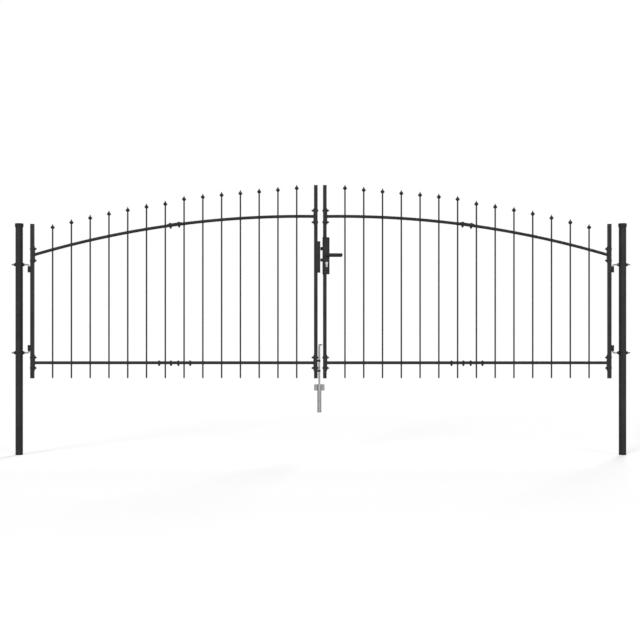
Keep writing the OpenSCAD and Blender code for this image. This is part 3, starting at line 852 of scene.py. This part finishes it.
class GATE_OT_seams(bpy.types.Operator):
    """Lays the seam welds of the hinge sleeves, the lock case, the keep and the drop bolt's guides."""

    bl_idname = "gate.seams"
    bl_label = "Seam welds"
    # A bead's middle stands off the corner that it fills by this share of its radius
    stand_off = 0.4
    # The sleeves' beads lie in the groove at this share of the sleeves' half depth
    groove = 2 / 3
    # Stitches on each side of the keep
    stitches = 3

    def execute(self, context):
        sizes, shape = context.scene.gate_fasteners, context.scene.gate_shape
        tree = seam_tree()
        off = self.stand_off * sizes.seam_r
        for leaf in ("left", "right"):
            runs = self.sleeve_runs(leaf, shape, sizes.seam_r)
            if leaf == "left":
                runs += self.keep_runs(off, sizes.stitch) + self.guide_runs(shape, off)
            else:
                runs += self.case_runs(off)
            points, lines = [], []
            for run in runs:
                # A loop ends in its first point, which is then given once
                closed = run[0] == run[-1]
                start, count = len(points), len(run) - closed
                points += [(place, (0, 0, 1), 0) for place in run[:count]]
                lines += [(start + i, start + (i + 1) % count) for i in range(len(run) - 1)]
            piece = grow(
                tree, f"{leaf}_seam_welds", points,
                {"Bead radius": sizes.seam_r, "Ripple step": sizes.seam_ripple / 2},
                finish("black_powder_coat"), lines,
            )
            smooth(piece, angle=60)
            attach(piece, f"{leaf}_leaf")
        return {"FINISHED"}

    def sleeve_runs(self, leaf, shape, radius):
        """Both sides of each hinge sleeve, in the groove between the sleeve and the outer stile."""
        low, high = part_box(f"{leaf}_hinge_sleeves")
        side = leaf_side(leaf)
        x = gate_middle() + side * (stile_places(leaf)[0] + stile_half() + radius / 2)
        runs = []
        for foot in (low.z, high.z - shape.sleeve_len):
            for y in (low.y * self.groove, high.y * self.groove):
                runs.append([(x, y, foot + 2 * radius), (x, y, foot + shape.sleeve_len - 2 * radius)])
        return runs

    def keep_runs(self, off, stitch):
        """Stitches along the keep's arms, on the front and the back of the stile."""
        low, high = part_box("lock_keep")
        half = stile_half()
        runs = []
        for i in range(self.stitches):
            z = low.z + (high.z - low.z) * (i + 0.5) / self.stitches
            for y in (-half - off, half + off):
                runs.append([(low.x - off, y, z - stitch / 2), (low.x - off, y, z + stitch / 2)])
        return runs

    def guide_runs(self, shape, off):
        """Both sides of each drop bolt guide, on the inner stile."""
        low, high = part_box("drop_bolt_guides")
        runs = []
        for foot in (low.z, high.z - shape.guide_h):
            for y in (low.y / 2 - off, high.y / 2 + off):
                runs.append([(low.x + off, y, foot + off), (low.x + off, y, foot + shape.guide_h - off)])
        return runs

    def case_runs(self, off):
        """A loop round the stile over the lock case and one under it."""
        low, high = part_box("right_inner_stile")
        corners = [(low.x, low.y), (high.x, low.y), (high.x, high.y), (low.x, high.y), (low.x, low.y)]
        case_low, case_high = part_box("lock_case")
        return [[(x, y, z) for x, y in corners] for z in (case_low.z - off, case_high.z + off)]


class GATE_OT_key_rotors(bpy.types.Operator):
    """Puts a turning face with a keyway on each end of the lock cylinder."""

    bl_idname = "gate.key_rotors"
    bl_label = "Lock faces"
    # Radius as a share of the cylinder's, and height over the cylinder's face
    share, rise = 0.72, 0.8 * MM
    # Where the sloped edge starts as a share of the height, and where it ends as a share of the radius
    edge_out, edge_in = 0.6, 0.93
    # Half the keyway's width and height, and its floor over the cylinder's face
    slot_w, slot_h, slot_floor = 1.3 * MM, 4.2 * MM, 0.1 * MM
    # Points in each ring
    count = 32

    def execute(self, context):
        low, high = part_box("lock_cylinder")
        radius = (high.x - low.x) / 2
        centre = Vector(((low.x + high.x) / 2, 0, high.z - radius))
        mesh = bmesh.new()
        for face_y, way in ((low.y, -1), (high.y, 1)):
            self.rotor(mesh, Vector((centre.x, face_y, centre.z)), way, radius * self.share)
        bmesh.ops.recalc_face_normals(mesh, faces=mesh.faces)
        data = bpy.data.meshes.new("key_rotors")
        mesh.to_mesh(data)
        mesh.free()
        data.materials.append(finish("nickel_plate"))
        piece = bpy.data.objects.new("key_rotors", data)
        context.scene.collection.objects.link(piece)
        smooth(piece, angle=30)
        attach(piece, "right_leaf")
        return {"FINISHED"}

    def rotor(self, mesh, centre, way, radius):
        """Ring with a sloped edge round an upright keyway, standing out of the cylinder's face."""
        turns = [2 * math.pi * i / self.count for i in range(self.count)]
        steps = ((radius, 0), (radius, self.rise * self.edge_out), (radius * self.edge_in, self.rise))
        outlines = [(out, [(r * math.cos(turn), r * math.sin(turn)) for turn in turns]) for r, out in steps]
        # The keyway's outline has as many points as a ring, spread along its upright slot
        keyway = []
        for turn in turns:
            keyway.append(tuple(
                size * math.copysign(math.sqrt(abs(part)), part)
                for size, part in ((self.slot_w, math.cos(turn)), (self.slot_h, math.sin(turn)))
            ))
        outlines += [(self.rise, keyway), (self.slot_floor, keyway)]
        rings = [
            [mesh.verts.new(centre + Vector((x, way * out, z))) for x, z in outline]
            for out, outline in outlines
        ]
        for a, b in zip(rings, rings[1:]):
            for i in range(self.count):
                j = (i + 1) % self.count
                mesh.faces.new((a[i], a[j], b[j], b[i]))
        mesh.faces.new(rings[-1])
        mesh.faces.new(reversed(rings[0]))


class GATE_OT_studio(bpy.types.Operator):
    """Sets up the pale floor, the soft light, the white background and the camera."""

    bl_idname = "gate.studio"
    bl_label = "Studio"
    # Width of the lamps as the gate sees them, in degrees
    softness = 18
    # Each lamp's azimuth, counted from the camera, its elevation and its strength
    lamps = {"key_light": (-27, 22, 1.7), "fill_light": (30, 12, 1.1), "back_light": (160, 30, 1.6)}
    # How much of the light that falls on the floor comes back, and how much it glows to be white
    floor_white, floor_glow = 0.8, 0.41
    # Half the floor's width in metres
    floor_reach = 60
    # The background's strength as it is seen and as it lights the gate
    world_seen, world_light = 1.0, 0.25

    def execute(self, context):
        scene, studio = context.scene, context.scene.gate_studio
        scene.view_settings.view_transform = "Standard"
        self.floor(studio)
        self.world(scene)
        for name, (azimuth, elevation, strength) in self.lamps.items():
            self.lamp(name, azimuth, elevation, strength)
        camera = bpy.data.objects.new("camera", bpy.data.cameras.new("camera"))
        scene.collection.objects.link(camera)
        camera.data.lens = studio.lens
        camera.data.clip_end = 200
        camera.location = (studio.camera_x, -studio.distance, studio.camera_z)
        camera.rotation_euler = (math.radians(90), 0, 0)
        scene.camera = camera
        return {"FINISHED"}

    def seen(self, tree):
        """1 for rays from the camera, from reflections and through glass, and 0 for rays that only light."""
        rays = add_node(tree, "ShaderNodeLightPath").outputs
        indirect = add_node(
            tree, "ShaderNodeMath",
            {0: rays["Is Glossy Ray"], 1: rays["Is Transmission Ray"]}, operation="MAXIMUM",
        )
        return add_node(tree, "ShaderNodeMath", {0: rays["Is Camera Ray"], 1: indirect}, operation="MAXIMUM")

    def floor(self, studio):
        """Wide pale floor at the posts' feet. It keeps the gate's shadow, and a glow lifts it to white."""
        material = bpy.data.materials.new("white_paper_floor")
        tree = empty_tree(material)
        pale = [self.floor_white * c for c in studio.paper]
        paper = add_node(tree, "ShaderNodeBsdfDiffuse", {"Color": (*pale, 1)})
        glow = add_node(
            tree, "ShaderNodeMath", {0: self.seen(tree), 1: self.floor_glow}, operation="MULTIPLY"
        )
        light = add_node(tree, "ShaderNodeEmission", {"Color": (*studio.paper, 1), "Strength": glow})
        both = add_node(tree, "ShaderNodeAddShader", {0: paper, 1: light})
        add_node(tree, "ShaderNodeOutputMaterial", {"Surface": both})
        data = bpy.data.meshes.new("floor")
        reach, middle, foot = self.floor_reach, gate_middle(), CAD_LOW.z
        corners = [(middle + x * reach, y * reach, foot) for x, y in ((-1, -1), (1, -1), (1, 1), (-1, 1))]
        data.from_pydata(corners, [], [(0, 1, 2, 3)])
        data.materials.append(material)
        floor = bpy.data.objects.new("floor", data)
        bpy.context.scene.collection.objects.link(floor)

    def world(self, scene):
        """White to the camera and in reflections, and a softer even light on everything else."""
        world = bpy.data.worlds.new("studio")
        scene.world = world
        tree = empty_tree(world)
        strength = add_node(
            tree, "ShaderNodeMapRange",
            {"Value": self.seen(tree), "To Min": self.world_light, "To Max": self.world_seen},
        )
        sky = add_node(tree, "ShaderNodeBackground", {"Color": (1, 1, 1, 1), "Strength": strength})
        add_node(tree, "ShaderNodeOutputWorld", {"Surface": sky})

    def lamp(self, name, azimuth, elevation, strength):
        """Far soft lamp, even over the whole gate."""
        light = bpy.data.lights.new(name, "SUN")
        light.angle = math.radians(self.softness)
        light.energy = strength
        lamp = bpy.data.objects.new(name, light)
        bpy.context.scene.collection.objects.link(lamp)
        lamp.rotation_euler = (math.radians(90 - elevation), 0, math.radians(azimuth))


class GATE_PT_looks(bpy.types.Panel):
    """Sizes, colours and pieces of the gate's looks."""

    bl_idname = "GATE_PT_looks"
    bl_label = "Driveway gate"
    bl_space_type = "VIEW_3D"
    bl_region_type = "UI"
    bl_category = "Gate"

    def draw(self, context):
        for step in STEPS:
            self.layout.operator(step.bl_idname)
        for group in GROUPS:
            box = self.layout.box()
            values = getattr(context.scene, group)
            for name in values.__annotations__:
                box.prop(values, name)


GROUPS = {
    "gate_finishes": GateFinishes,
    "gate_fasteners": GateFasteners,
    "gate_shape": GateShape,
    "gate_studio": GateStudio,
}
STEPS = (
    GATE_OT_finishes, GATE_OT_bolts, GATE_OT_threads, GATE_OT_welds, GATE_OT_seams, GATE_OT_key_rotors,
    GATE_OT_studio,
)


def register():
    for group in GROUPS.values():
        bpy.utils.register_class(group)
    for step in STEPS:
        bpy.utils.register_class(step)
    bpy.utils.register_class(GATE_PT_looks)
    for name, group in GROUPS.items():
        setattr(bpy.types.Scene, name, bpy.props.PointerProperty(type=group))


def unregister():
    for name in GROUPS:
        delattr(bpy.types.Scene, name)
    bpy.utils.unregister_class(GATE_PT_looks)
    for step in reversed(STEPS):
        bpy.utils.unregister_class(step)
    for group in reversed(list(GROUPS.values())):
        bpy.utils.unregister_class(group)


def main():
    register()
    bpy.ops.gate.finishes()
    bpy.ops.gate.bolts()
    bpy.ops.gate.threads()
    bpy.ops.gate.welds()
    bpy.ops.gate.seams()
    bpy.ops.gate.key_rotors()
    bpy.ops.gate.studio()


if __name__ == "__main__":
    main()
